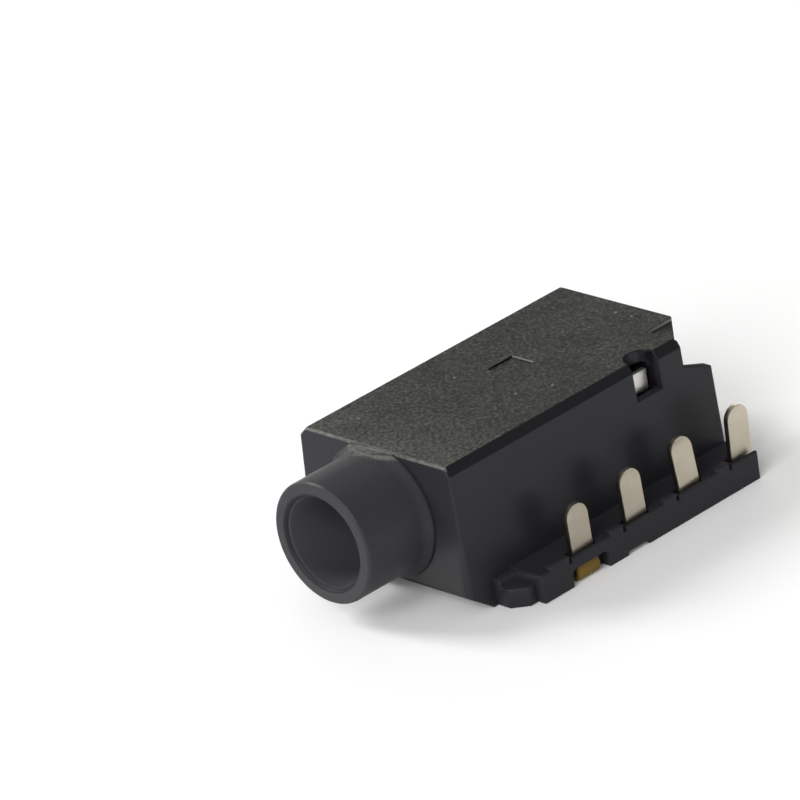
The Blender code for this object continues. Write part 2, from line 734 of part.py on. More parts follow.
def build_side_contacts(parts, metal):
    """Three like contacts along the right side, each springing into the bore."""
    bite = BORE_DIAMETER / 2 - SPRING_BITE
    rows = zip(STATIONS, SIDE_TAB_TOPS, SIDE_TAB_LEANS, SIDE_DROPS, SIDE_SPREADS)
    for number, (y, top, lean, drop, spread) in enumerate(rows, 1):
        run = [(OUTER_LEG + spread, RUN_HEIGHT - drop), (INNER_LEG, RUN_HEIGHT - drop)]
        if spread:
            step = [
                (OUTER_LEG, WING_HEIGHT - SPREAD_START),
                (OUTER_LEG + spread, WING_HEIGHT - SPREAD_END),
            ]
            run = step + run
        spring = [
            (INNER_LEG, SPRING_FOOT),
            (bite, AXIS_HEIGHT),
            (SPRING_HEAD, AXIS_HEIGHT + SPRING_HEAD_FOOT),
            (SPRING_HEAD, AXIS_HEIGHT + SPRING_TOP),
        ]
        tab = (OUTER_LEG, top, lean)
        obj = contact(f"side_contact_{number}", y, tab, (run, spring), 1)
        finish_contact(obj, parts, metal)


def build_rear_contact(parts, metal):
    """Contact at the right rear corner, with a waist in its leg and a hooked head."""
    run = [(OUTER_LEG, RUN_HEIGHT), (INNER_LEG, RUN_HEIGHT)]
    head = [(INNER_LEG + offset, AXIS_HEIGHT + height) for offset, height in REAR_HEAD]
    tab = (OUTER_LEG, REAR_TAB_TOP, REAR_TAB_LEAN)
    neck = (AXIS_HEIGHT - REAR_NECK_DROP, REAR_HEAD_WIDTH)
    obj = contact("rear_contact", REAR_STATION, tab, (run, head), 1, neck)
    finish_contact(obj, parts, metal)


def build_tip_contact(parts, laps, metal):
    """Waved contact at the left rear corner, with an arm that reaches the plug's tip."""
    run = [(TIP_OUTER_LEG, RUN_HEIGHT), (TIP_INNER_LEG, RUN_HEIGHT)]
    wave = [(TIP_INNER_LEG + offset, AXIS_HEIGHT + height) for offset, height in TIP_WAVE]
    tab = (TIP_OUTER_LEG, TIP_TAB_TOP, TIP_TAB_LEAN)
    obj = contact("tip_contact", REAR_STATION, tab, (run, wave), -1)
    bite = BORE_DIAMETER / 2 - SPRING_BITE
    points = [
        (-TIP_INNER_LEG, REAR_STATION),
        (-TIP_INNER_LEG, REAR_STATION - ARM_BEND),
        (-bite, REAR_STATION - ARM_CONTACT),
        (-bite - ARM_RETURN, REAR_STATION - ARM_END),
    ]
    points = rounded(points, [BEND_RADIUS] * len(points))
    combine(obj, "UNION", flat_arm("tip_arm", points, AXIS_HEIGHT, ARM_WIDTH, laps))
    finish_contact(obj, parts, metal)


def build_switch_contact(parts, laps, metal):
    """Waved leaf beside the tip contact, carried forward to a leg and a tab of its own."""
    station = STATIONS[2]
    run = [(TIP_OUTER_LEG, RUN_HEIGHT), (SWITCH_LEG, RUN_HEIGHT)]
    leg = [(SWITCH_LEG, AXIS_HEIGHT + BRIDGE_HEIGHT - BRIDGE_LAP)]
    tab = (TIP_OUTER_LEG, TIP_TAB_TOP, TIP_TAB_LEAN)
    obj = contact("switch_contact", station, tab, (run, leg), -1)
    points = [(-SWITCH_LEG, station), (-SWITCH_LEG, REAR_STATION)]
    height = AXIS_HEIGHT + BRIDGE_HEIGHT / 2
    combine(obj, "UNION", flat_arm("switch_bridge_arm", points, height, BRIDGE_HEIGHT, laps))
    wave = [(-SWITCH_LEG - offset, AXIS_HEIGHT + height) for offset, height in LEAF_WAVE]
    wave = rounded(wave, [KINK_RADIUS] * len(wave))
    rows = [(Vector((x, REAR_STATION, z)), HALF_WIDTH) for x, z in wave]
    leaf = add_tool(ribbon("switch_leaf", rows, (0.0, 1.0, 0.0)), laps)
    combine(obj, "UNION", leaf)
    finish_contact(obj, parts, metal)


def main():
    """Builds the socket from its housing and its contacts."""
    clear_scene()
    parts = new_collection("Audio jack socket")
    tools = new_collection("Tools")
    laps = new_collection("Contact arms", tools)
    plastic = make_material("Black moulded plastic", (0.012, 0.012, 0.013), 0.5, 0.0)
    silver = make_material("Tinned strip", (0.78, 0.77, 0.74), 0.3, 1.0)
    brass = make_material("Brass strip", (0.78, 0.6, 0.33), 0.3, 1.0)
    build_housing(parts, tools, plastic)
    build_side_contacts(parts, silver)
    build_rear_contact(parts, silver)
    build_tip_contact(parts, laps, brass)
    build_switch_contact(parts, laps, brass)


main()
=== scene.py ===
"""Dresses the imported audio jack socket: moulded housing, stamped contacts, stage and camera.

Everything is in metres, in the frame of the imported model: +Z up, the mouth of the barrel
faces -Y, and the underside of the wings rests at Z = 0.
"""

import json
import math
from types import SimpleNamespace

import bmesh
import bpy
from bpy.props import FloatProperty, FloatVectorProperty, IntProperty, PointerProperty
from mathutils import Matrix, Vector

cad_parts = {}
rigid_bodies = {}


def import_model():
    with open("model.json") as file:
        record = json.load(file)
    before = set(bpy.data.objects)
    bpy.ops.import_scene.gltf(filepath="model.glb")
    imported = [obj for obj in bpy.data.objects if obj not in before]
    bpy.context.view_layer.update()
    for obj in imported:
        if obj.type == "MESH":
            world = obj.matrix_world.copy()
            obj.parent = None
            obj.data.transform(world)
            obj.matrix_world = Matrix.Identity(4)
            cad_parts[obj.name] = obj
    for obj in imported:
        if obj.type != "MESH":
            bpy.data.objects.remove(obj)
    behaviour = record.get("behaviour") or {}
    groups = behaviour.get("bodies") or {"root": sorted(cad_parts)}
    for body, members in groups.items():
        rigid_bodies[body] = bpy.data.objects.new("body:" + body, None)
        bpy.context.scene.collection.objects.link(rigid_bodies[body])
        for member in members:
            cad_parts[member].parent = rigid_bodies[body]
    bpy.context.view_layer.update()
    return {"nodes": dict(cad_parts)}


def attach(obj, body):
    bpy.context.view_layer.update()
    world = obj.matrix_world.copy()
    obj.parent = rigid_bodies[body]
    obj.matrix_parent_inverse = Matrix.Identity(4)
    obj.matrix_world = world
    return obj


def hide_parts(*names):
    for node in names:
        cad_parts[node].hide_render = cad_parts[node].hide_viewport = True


bl_info = {
    "name": "Audio jack socket",
    "version": (1, 0, 0),
    "blender": (4, 5, 0),
    "location": "3D View > Sidebar > Socket",
    "description": "Moulded socket with stamped strip contacts",
    "category": "Object",
}

MM = 0.001

for leftover in list(bpy.data.objects):
    bpy.data.objects.remove(leftover, do_unlink=True)
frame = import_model()

BODY = "root"

# Places on the housing, in millimetres
BORE_AXIS = 3.46
BORE_RADIUS = 1.8
BORE_END = 5.95
LEAD_IN_RADIUS = 1.95
FRONT_FACE = -5.375
REAR_FACE = 8.575
TOP_FACE = 5.98
COLLAR_LENGTH = 0.7
WINDOW_MIDDLE = 5.205
CORNER_PAD_SIDE = 2.3
CORNER_PAD_START = 7.05
MARK_CENTRE = {"X": -0.39, "Y": 2.345}
MARK_HALF = {"X": 0.55, "Y": 0.665}

# Spans where one part of the moulding's surface gives way to the next, in millimetres
TOP_LAYER = (TOP_FACE - 0.2, TOP_FACE - 0.12)
TOP_ROUNDING = (TOP_FACE - 0.2, TOP_FACE - 0.1)
COLLAR_START = (FRONT_FACE - COLLAR_LENGTH, FRONT_FACE - COLLAR_LENGTH + 0.05)
PAD_STEP_SIDE = (CORNER_PAD_SIDE + 0.04, CORNER_PAD_SIDE + 0.08)
PAD_STEP_START = (CORNER_PAD_START - 0.1, CORNER_PAD_START)
SLANT_FOOT = (TOP_FACE - 0.9, TOP_FACE - 0.7)
SLANT_FRONT = (FRONT_FACE - 0.02, FRONT_FACE)
FRONT_EDGE = (FRONT_FACE + 0.12, FRONT_FACE + 0.2)
REAR_EDGE = (REAR_FACE - 0.2, REAR_FACE - 0.12)
CREST_DEPTH = (FRONT_FACE - 0.03, FRONT_FACE)
CREST_SIDE = (-0.4, 0.6)
BARREL_ROOT = (FRONT_FACE - 0.3, FRONT_FACE)
BORE_WALL = (BORE_RADIUS + 0.02, BORE_RADIUS + 0.1)
BORE_BOTTOM = (BORE_END, BORE_END + 0.02)
BORE_HEIGHT = (-BORE_RADIUS, BORE_RADIUS)
LIP_INSIDE = (BORE_RADIUS + 0.01, BORE_RADIUS + 0.04)
LIP_OUTSIDE = (LEAD_IN_RADIUS, LEAD_IN_RADIUS + 0.05)
WINDOW_END = (0.66, 0.7)
WINDOW_SIDE = (2.8, 2.9)
WINDOW_FOOT = (4.3, 4.4)
MARK_MARGIN = (0.1, 0.12)
# Height and side over which the painted bounce light on the front face fades
BOUNCE_HEIGHT = (1.0, 3.6)
BOUNCE_SIDE = (3.6, 3.8)
PALE_FRONT = (FRONT_FACE, -1.0)
REAR_LEDGE = (7.0, 7.2)

# Spans of one part of the normal over which a face comes to count as turned that way
FACING_UP = (0.9, 0.985)
PAD_STEP_TURN = (0.5, 0.6)
SLANT_TURN = (0.3, 0.4)
# Normals over which the rounded top edges take the painted highlight
HIGHLIGHT_RISE = (0.2, 0.35)
HIGHLIGHT_LEAN = (0.12, 0.3)
WINDOW_RISE = (0.8, 0.9)
WINDOW_TURN = (0.75, 0.85)
MARK_FRONT_TURN = (-0.4, -0.2)
MARK_SIDE_TURN = (0.2, 0.4)
# Normals that take the painted bounce light and the painted sheen
BOUNCE_TURN = (-0.9, -0.7)
SHEEN_TURN = (-0.5, 0.1)
SHEEN_RISE = (0.5, 0.9)
LEDGE_RISE = (0.3, 0.5)

# Greatest share of each painted shade, highlight, bounce light and sheen
SLANT_SHADE_SHARE = 0.72
CREST_HIGHLIGHT_SHARE = 0.8
BOUNCE_SHARE = 0.8
SHEEN_SHARE = 0.65

# Noises: patches per millimetre, detail and roughness
FINE_NOISE = (7.0, 2.0, 0.55)
COARSE_NOISE = (3.4, 2.0, 0.6)
CLOUD_NOISE = (0.5, 3.0, 0.6)
HUE_NOISE = (6.0, 1.0, 0.5)
SMUDGE_NOISE = (0.7, 3.0, 0.6)
ROLLED_NOISE = (1.0, 3.0, 0.6)
MOTTLE_NOISE = (1.6, 3.0, 0.6)
FLOOR_NOISE = (0.05, 3.0, 0.5)

# Grain of the top: how it is drawn out, and the tones that each span of a noise gives
GRAIN_TURN = -0.73
GRAIN_STRETCH = 1.25
FINE_SPAN, FINE_TONES = (0.32, 0.72), (-0.023, 0.054)
COARSE_SPAN, COARSE_TONES = (0.3, 0.7), (-0.01, 0.01)
CLOUD_SPAN, CLOUD_TONES = (0.35, 0.7), (-0.008, 0.012)
HUE_SPAN, HUE_BLUES = (0.4, 0.6), (0.84, 1.06)
PALE_FRONT_TONES = (0.03, 0.0)
DARKEST_GRAIN = 0.006
# Painted highlight on the rounded top edges and the collar's crest
HIGHLIGHT_TONE = 0.075
# Painted light on the shaded step wall of the corner pad
PAD_STEP_PAINTED_LIGHT = 0.2
SPECK_PATCHES = 1.3
SPECK_RADIUS = (0.06, 0.1)
SPECK_CHOICE = (0.95, 0.96)
SPECK_TONE = 0.16
# Tones of the painted sheen on the barrel's upper left
SHEEN_SPAN, SHEEN_TONES = (0.34, 0.68), (0.09, 0.15)

# Roughness and relief of the moulding
SMUDGE_SPAN, SMUDGE_ROUGHNESS = (0.3, 0.7), (0.3, 0.38)
MATT_SPAN, MATT_ROUGHNESS = (0.3, 0.7), (0.5, 0.66)
BARREL_ROUGHER = 0.14
UPWARD_ROUGHER = 0.3
LEDGE_ROUGHER = 0.6
BORE_ROUGHER = 0.3
COARSE_RELIEF = 0.8
BARREL_RELIEF = 0.12
WALL_RELIEF = 0.03
MOULDING_BUMP = 0.75
MOULDING_RELIEF = 0.02
PLASTIC_IOR = 1.5
PLASTIC_GLOSS = 0.2

# Strip: heights in millimetres where its colour changes, and its rolled surface
HEAD_FOOT = (4.0, 4.4)
LOW_PART = (0.7, 1.05)
FLUSH_START = (8.3, 8.4)
FLUSH_SIDE = (0.0, 1.0)
FLUSH_FOOT = (2.9, 3.1)
FLUSH_TOP = (3.7, 3.9)
FLUSH_SHARE = 0.8
CUT_TURN = (0.45, 0.75)
REAR_TURN = (-0.1, 0.1)
# Painted light: the tabs darker at the front and paler towards the rear
FIRST_TAB_PAINTED_LIGHT = 0.84
LAST_TAB_PAINTED_LIGHT = 1.08
ROLLED_STRETCH = (9.0, 26.0, 1.6)
MOTTLE_SPAN, TARNISH_SHARES = (0.35, 0.7), (0.0, 0.5)
ROLLED_SPAN, STRIP_ROUGHNESS = (0.3, 0.7), (0.34, 0.48)
LOW_METAL = 0.3
LOW_ROUGHNESS = 0.62
MOTTLE_RELIEF = 0.5
STRIP_BUMP = 0.3
STRIP_RELIEF = 0.005

# Table top, and the two whites that it shows to the camera
FLOOR_ROUGHNESS = 0.9
FLOOR_WHITES = ((0.985, 0.985, 0.985, 1.0), (1.0, 1.0, 1.0, 1.0))
FLOOR_GLOW = 0.06

# Contacts: places along Y, and lines of X and Z from the solder tab inwards, in millimetres
SIDE_PLACES = (-0.785, 2.145, 5.075)
SIDE_LINES = (
    ((5.25, 2.94), (5.31, 1.31), (5.31, 0.95), (5.56, 0.4), (5.56, 0.13), (3.05, 0.13)),
    ((5.2, 3.07), (5.31, 1.31), (5.31, 0.95), (5.42, 0.4), (5.42, 0.13), (3.05, 0.13)),
    ((5.09, 3.09), (5.31, 1.31), (5.31, 0.49), (3.05, 0.49)),
)
SIDE_SPRING = ((3.05, 1.6), (1.6, 3.46), (3.29, 4.5), (3.29, 5.32))
REAR_PLACE = 8.005
REAR_LINE = ((5.36, 3.22), (5.31, 1.31), (5.31, 0.49), (3.05, 0.49))
REAR_HEAD = ((3.04, 2.1), (2.72, 2.95), (2.73, 3.56), (2.57, 4.01), (2.38, 4.6), (1.9, 4.9))
REAR_NECK = 2.56
REAR_HEAD_WIDTH = 0.65
LEFT_TAB = ((-4.98, 3.0), (-5.2, 1.31), (-5.2, 0.49))
TIP_WAVE = (
    (-2.44, 0.49),
    (-2.44, 1.5),
    (-2.54, 2.0),
    (-2.54, 2.72),
    (-2.66, 3.04),
    (-2.44, 3.36),
    (-2.44, 4.3),
    (-2.62, 4.62),
    (-2.6, 5.2),
)
SWITCH_LEG = ((-3.11, 0.49), (-3.11, 4.11))
SWITCH_LEAF = (
    (-3.08, 1.64),
    (-3.07, 1.96),
    (-3.3, 2.42),
    (-3.23, 3.06),
    (-3.32, 3.38),
    (-3.11, 3.58),
    (-3.11, 4.36),
    (-3.32, 4.66),
    (-3.21, 4.86),
    (-3.23, 5.23),
)
TAB_END_STEPS = 12
TAB_END_ANGLE = math.radians(84)

# Flat arms: lines of X and Y, widths and a height, in millimetres
TIP_ARM = ((-2.44, 8.005), (-2.44, 6.705), (-1.6, 5.255), (-1.95, 4.705))
TIP_ARM_WIDTH = 0.9
SWITCH_BRIDGE = ((-3.11, 5.075), (-3.11, 8.005))
SWITCH_BRIDGE_WIDTH = 0.7
SWITCH_BRIDGE_HEIGHT = 3.81
ARM_THICKNESS = 0.19

# Edges: which ones are rounded, and how far into their neighbours
MOULDED_EDGE_ANGLE = math.radians(20)
STRIP_EDGE_ANGLE = math.radians(60)
STRIP_EDGE_STEPS = 2
SMOOTH_ANGLE = math.radians(26)
FLAT_FACE_WEIGHT = 100
NEIGHBOUR_SHARE = 0.42
LEAST_ROUNDING = 0.12
FLAT_ANGLE = math.radians(0.5)
SAME_PLACE = 0.001
SAME_STRIP_PLACE = 0.0005


# Settings

class SocketSizes(bpy.types.PropertyGroup):
    """Sizes of the rounded edges and of the strip."""

    edge_radius: FloatProperty(
        name="Edge radius",
        description="Rounding of the moulding's outer edges",
        default=0.07 * MM,
        min=0.0,
        unit="LENGTH",
        precision=6,
    )
    edge_steps: IntProperty(
        name="Edge steps",
        description="Faces across each rounded edge",
        default=3,
        min=1,
        max=6,
    )
    strip_thickness: FloatProperty(
        name="Strip thickness",
        description="Thickness of the contact strip",
        default=0.23 * MM,
        unit="LENGTH",
        precision=6,
    )
    strip_width: FloatProperty(
        name="Strip width",
        description="Width of the contact strip",
        default=1.1 * MM,
        unit="LENGTH",
        precision=6,
    )
    strip_edge: FloatProperty(
        name="Strip edge",
        description="Rounding that the press leaves on the strip's edges",
        default=0.022 * MM,
        unit="LENGTH",
        precision=6,
    )
    bend_radius: FloatProperty(
        name="Bend radius",
        description="Radius at the middle of the strip where it turns under the wing",
        default=0.2 * MM,
        unit="LENGTH",
        precision=6,
    )
    kink_radius: FloatProperty(
        name="Kink radius",
        description="Radius at the middle of the strip where it waves inside the housing",
        default=0.18 * MM,
        unit="LENGTH",
        precision=6,
    )
    bend_steps: IntProperty(
        name="Bend steps",
        description="Points round each bend of the strip",
        default=7,
        min=2,
        max=16,
    )


class SocketColours(bpy.types.PropertyGroup):
    """Colours of the moulding, the metals and the floor, with the painted light and shade among
    them.
    """

    moulding: FloatVectorProperty(
        name="Moulding", description="Black of the moulded walls",
        subtype="COLOR", size=3, default=(0.0252, 0.0257, 0.0305), min=0.0, max=1.0,
    )
    # The barrel's paler black is painted light
    barrel: FloatVectorProperty(
        name="Barrel", description="Slightly paler black of the barrel",
        subtype="COLOR", size=3, default=(0.0425, 0.0427, 0.049), min=0.0, max=1.0,
    )
    # Painted shade: the slanted edge beside the top is made darker than the walls
    slant_shade: FloatVectorProperty(
        name="Slant", description="Deep black of the slanted edge beside the top",
        subtype="COLOR", size=3, default=(0.008, 0.008, 0.0095), min=0.0, max=1.0,
    )
    # Painted bounce light from the white table, low on the front face
    painted_bounce: FloatVectorProperty(
        name="Bounce", description="Haze low on the front face",
        subtype="COLOR", size=3, default=(0.056, 0.056, 0.058), min=0.0, max=1.0,
    )
    # Painted light in the bore: far paler than the moulding, and paler at the top than at the
    # bottom
    bore_light_low: FloatVectorProperty(
        name="Bore, low", description="Matt grey at the bottom of the bore",
        subtype="COLOR", size=3, default=(0.052, 0.053, 0.062), min=0.0, max=1.0,
    )
    bore_light_high: FloatVectorProperty(
        name="Bore, high", description="Matt grey at the top of the bore",
        subtype="COLOR", size=3, default=(0.14, 0.142, 0.16), min=0.0, max=1.0,
    )
    lip: FloatVectorProperty(
        name="Lip", description="Dark lead-in of the bore",
        subtype="COLOR", size=3, default=(0.02, 0.02, 0.023), min=0.0, max=1.0,
    )
    # Painted shade on the walls of the window
    window: FloatVectorProperty(
        name="Window", description="Shaded walls of the window",
        subtype="COLOR", size=3, default=(0.006, 0.006, 0.008), min=0.0, max=1.0,
    )
    # Painted highlight on the mark's wall that faces the mouth
    mark_front_highlight: FloatVectorProperty(
        name="Mark, front", description="Highlit wall of the mark that faces the mouth",
        subtype="COLOR", size=3, default=(0.2, 0.2, 0.19), min=0.0, max=1.0,
    )
    # Painted shade on the mark's wall that faces the side
    mark_side_shade: FloatVectorProperty(
        name="Mark, side", description="Shaded wall of the mark that faces the side",
        subtype="COLOR", size=3, default=(0.003, 0.003, 0.003), min=0.0, max=1.0,
    )
    tin: FloatVectorProperty(
        name="Tin", description="Warm grey of the tinned faces",
        subtype="COLOR", size=3, default=(0.6, 0.545, 0.44), min=0.0, max=1.0,
    )
    tin_tarnish: FloatVectorProperty(
        name="Tin, tarnished", description="Duller patches of the tinned faces",
        subtype="COLOR", size=3, default=(0.52, 0.475, 0.385), min=0.0, max=1.0,
    )
    # Bare brass under the wing, its dark tone partly painted shade
    tin_low: FloatVectorProperty(
        name="Tin, low", description="Bare metal of the tinned strip under the wing",
        subtype="COLOR", size=3, default=(0.22, 0.135, 0.022), min=0.0, max=1.0,
    )
    # Painted highlight on the strip's upper end
    tin_head: FloatVectorProperty(
        name="Tin, head", description="Bright upper end of the tinned strip",
        subtype="COLOR", size=3, default=(0.8, 0.77, 0.74), min=0.0, max=1.0,
    )
    # Painted highlight on the cut edges that face the rear
    tin_rear: FloatVectorProperty(
        name="Tin, rear", description="Cut edges of the tinned strip that face the rear",
        subtype="COLOR", size=3, default=(0.7, 0.63, 0.58), min=0.0, max=1.0,
    )
    brass: FloatVectorProperty(
        name="Brass", description="Yellow of the bare strip",
        subtype="COLOR", size=3, default=(0.5, 0.36, 0.15), min=0.0, max=1.0,
    )
    brass_tarnish: FloatVectorProperty(
        name="Brass, tarnished", description="Duller patches of the bare strip",
        subtype="COLOR", size=3, default=(0.36, 0.25, 0.1), min=0.0, max=1.0,
    )
    # Darker under the wing: painted shade
    brass_low: FloatVectorProperty(
        name="Brass, low", description="Dark metal of the bare strip under the wing",
        subtype="COLOR", size=3, default=(0.24, 0.15, 0.035), min=0.0, max=1.0,
    )
    # Painted highlight on the strip's upper end
    brass_head: FloatVectorProperty(
        name="Brass, head", description="Upper end of the bare strip",
        subtype="COLOR", size=3, default=(0.55, 0.42, 0.22), min=0.0, max=1.0,
    )
    # Painted highlight on the cut edges that face the rear
    brass_rear: FloatVectorProperty(
        name="Brass, rear", description="Cut edges of the bare strip that face the rear",
        subtype="COLOR", size=3, default=(0.68, 0.54, 0.36), min=0.0, max=1.0,
    )
    # The cut edges' own dull brown, darkened further as painted shade
    shaded_cut_edge: FloatVectorProperty(
        name="Cut edge", description="Dull brown of the strip's other cut edges",
        subtype="COLOR", size=3, default=(0.16, 0.13, 0.1), min=0.0, max=1.0,
    )
    copper: FloatVectorProperty(
        name="Copper", description="Flush of copper on the rear contact's head",
        subtype="COLOR", size=3, default=(0.6, 0.34, 0.22), min=0.0, max=1.0,
    )
    floor: FloatVectorProperty(
        name="Floor", description="Pale table top, as the lights and the pieces meet it",
        subtype="COLOR", size=3, default=(0.8, 0.8, 0.8), min=0.0, max=1.0,
    )


def sizes():
    """The sizes in use."""
    return bpy.context.scene.socket_sizes


def colours():
    """The colours in use."""
    return bpy.context.scene.socket_colours


def paint(name):
    """One of the colours in use, fully covering."""
    return (*getattr(colours(), name), 1.0)


# Nodes

def new_material(name):
    """A node material with its tree and its shader."""
    material = bpy.data.materials.new(name)
    material.use_nodes = True
    tree = material.node_tree
    shader = tree.nodes["Principled BSDF"]
    return material, tree, shader


def add_node(tree, kind, inputs=None, **settings):
    """Adds a node with its settings, its input values and its links."""
    node = tree.nodes.new(kind)
    for name, value in settings.items():
        setattr(node, name, value)
    for name, value in (inputs or {}).items():
        if isinstance(value, bpy.types.NodeSocket):
            tree.links.new(value, node.inputs[name])
        else:
            node.inputs[name].default_value = value
    return node


def scaled(tree, vector, factor):
    """A vector or a colour times a factor."""
    values = {0: vector, "Scale": factor}
    return add_node(tree, "ShaderNodeVectorMath", values, operation="SCALE").outputs[0]


def position_mm(tree):
    """Object coordinates in millimetres."""
    place = add_node(tree, "ShaderNodeTexCoord").outputs["Object"]
    return scaled(tree, place, 1.0 / MM)


def parts(tree, vector):
    """X, Y and Z of a vector."""
    return add_node(tree, "ShaderNodeSeparateXYZ", {0: vector}).outputs


def surface(tree):
    """Place in millimetres, its parts, and the parts of the normal."""
    where = position_mm(tree)
    normal = add_node(tree, "ShaderNodeNewGeometry").outputs["Normal"]
    return where, parts(tree, where), parts(tree, normal)


def noise(tree, where, settings):
    """Noise from its patches per millimetre, detail and roughness."""
    scale, detail, roughness = settings
    node = add_node(
        tree,
        "ShaderNodeTexNoise",
        {"Vector": where, "Scale": scale, "Detail": detail, "Roughness": roughness},
    )
    return node.outputs["Fac"]


def ramp(tree, value, span, ends=(0.0, 1.0)):
    """Maps a span of values to two ends, and holds the ends beyond it."""
    node = add_node(
        tree,
        "ShaderNodeMapRange",
        {"Value": value, 1: span[0], 2: span[1], 3: ends[0], 4: ends[1]},
    )
    return node.outputs["Result"]


def fall(tree, value, span):
    """1 before a span of values and 0 after it."""
    return ramp(tree, value, span, (1.0, 0.0))


def maths(tree, operation, a, b=0.0):
    """Result of one arithmetic step."""
    return add_node(tree, "ShaderNodeMath", {0: a, 1: b}, operation=operation).outputs[0]


def times(tree, *values):
    """Product of two or more values."""
    product = values[0]
    for value in values[1:]:
        product = maths(tree, "MULTIPLY", product, value)
    return product


def plus(tree, *values):
    """Sum of two or more values."""
    total = values[0]
    for value in values[1:]:
        total = maths(tree, "ADD", total, value)
    return total


def distance(tree, value, centre):
    """How far a value lies from a centre, either way."""
    return maths(tree, "ABSOLUTE", maths(tree, "SUBTRACT", value, centre))


def mix_value(tree, factor, a, b):
    """Value between two values."""
    return add_node(tree, "ShaderNodeMix", {0: factor, 2: a, 3: b}).outputs[0]


def mix_colour(tree, factor, a, b):
    """Colour between two colours."""
    node = add_node(tree, "ShaderNodeMix", {0: factor, 6: a, 7: b}, data_type="RGBA")
    return node.outputs[2]


def tone_colour(tree, red, green, blue):
    """Colour from three tones."""
    return add_node(tree, "ShaderNodeCombineColor", {0: red, 1: green, 2: blue}).outputs[0]


def add_relief(tree, shader, height, strength, depth):
    """Lets a height show as relief, with its depth in millimetres."""
    values = {"Height": height, "Strength": strength, "Distance": depth * MM}
    bump = add_node(tree, "ShaderNodeBump", values)
    tree.links.new(bump.outputs[0], shader.inputs["Normal"])


# Materials

def top_masks(tree, place, turn):
    """Parts of the block's top, each from 0 outside it to 1 on it, among them the slanted edge
    that takes painted shade and the edges and crest that take a painted highlight.
    """
    mask = SimpleNamespace()
    mask.upward = ramp(tree, turn["Z"], FACING_UP)
    mask.high = ramp(tree, place["Z"], TOP_LAYER)
    mask.step = times(
        tree,
        mask.high,
        ramp(tree, turn["X"], PAD_STEP_TURN),
        fall(tree, place["X"], PAD_STEP_SIDE),
        ramp(tree, place["Y"], PAD_STEP_START),
    )
    flat = times(tree, mask.upward, mask.high, ramp(tree, place["Y"], COLLAR_START))
    mask.top = maths(tree, "MAXIMUM", flat, mask.step)
    # Where painted shade darkens the slanted edge beside the top
    mask.slant_shade = times(
        tree,
        ramp(tree, turn["Z"], SLANT_TURN),
        ramp(tree, turn["X"], SLANT_TURN),
        ramp(tree, place["Z"], SLANT_FOOT, (0.0, SLANT_SHADE_SHARE)),
        ramp(tree, place["Y"], SLANT_FRONT),
    )
    # Painted highlight along the rounded front and rear top edges and on the collar's crest,
    # where they catch the lamps
    ends = plus(tree, fall(tree, place["Y"], FRONT_EDGE), ramp(tree, place["Y"], REAR_EDGE))
    edges = times(
        tree,
        ramp(tree, turn["Z"], HIGHLIGHT_RISE),
        ramp(tree, maths(tree, "ABSOLUTE", turn["Y"]), HIGHLIGHT_LEAN),
        ends,
        ramp(tree, place["Z"], TOP_ROUNDING),
    )
    crest = times(
        tree,
        mask.top,
        ramp(tree, place["Y"], CREST_DEPTH, (CREST_HIGHLIGHT_SHARE, 0.0)),
        fall(tree, place["X"], CREST_SIDE),
    )
    mask.rubbed = maths(tree, "MAXIMUM", edges, crest)
    return mask


def bore_masks(tree, place, barrel):
    """Wall of the bore, its dark lead-in, and how high a place is in the bore."""
    rise = maths(tree, "SUBTRACT", place["Z"], BORE_AXIS)
    squares = plus(tree, maths(tree, "POWER", place["X"], 2.0), maths(tree, "POWER", rise, 2.0))
    reach = maths(tree, "SQRT", squares)
    inside = times(tree, fall(tree, reach, BORE_WALL), fall(tree, place["Y"], BORE_BOTTOM))
    lip = times(tree, ramp(tree, reach, LIP_INSIDE), fall(tree, reach, LIP_OUTSIDE), barrel)
    return inside, lip, ramp(tree, rise, BORE_HEIGHT)


def window_mask(tree, place, turn):
    """Walls of the window over the third side contact, where shade is painted."""
    return times(
        tree,
        fall(tree, distance(tree, place["Y"], WINDOW_MIDDLE), WINDOW_END),
        ramp(tree, place["X"], WINDOW_SIDE),
        ramp(tree, place["Z"], WINDOW_FOOT),
        fall(tree, turn["Z"], WINDOW_RISE),
        fall(tree, turn["X"], WINDOW_TURN),
    )


def mark_masks(tree, place, turn, mask):
    """The two walls of the sunk mark that are seen, towards the mouth and to the side, with a
    painted highlight on the first and painted shade on the second.
    """
    wall = maths(tree, "SUBTRACT", 1.0, maths(tree, "MAXIMUM", mask.upward, mask.slant_shade))
    for axis, half in MARK_HALF.items():
        margin = [half + end for end in MARK_MARGIN]
        wall = times(
            tree, wall, fall(tree, distance(tree, place[axis], MARK_CENTRE[axis]), margin)
        )
    wall = times(tree, wall, mask.high)
    front = times(tree, wall, fall(tree, turn["Y"], MARK_FRONT_TURN))
    side = times(tree, wall, ramp(tree, turn["X"], MARK_SIDE_TURN))
    return front, side


def speck_mask(tree, where):
    """A few round specks, seen from above."""
    specks = add_node(
        tree,
        "ShaderNodeTexVoronoi",
        {"Vector": where, "Scale": SPECK_PATCHES},
        voronoi_dimensions="2D",
    ).outputs
    chosen = ramp(tree, parts(tree, specks["Color"])[0], SPECK_CHOICE)
    return times(tree, fall(tree, specks["Distance"], SPECK_RADIUS), chosen)


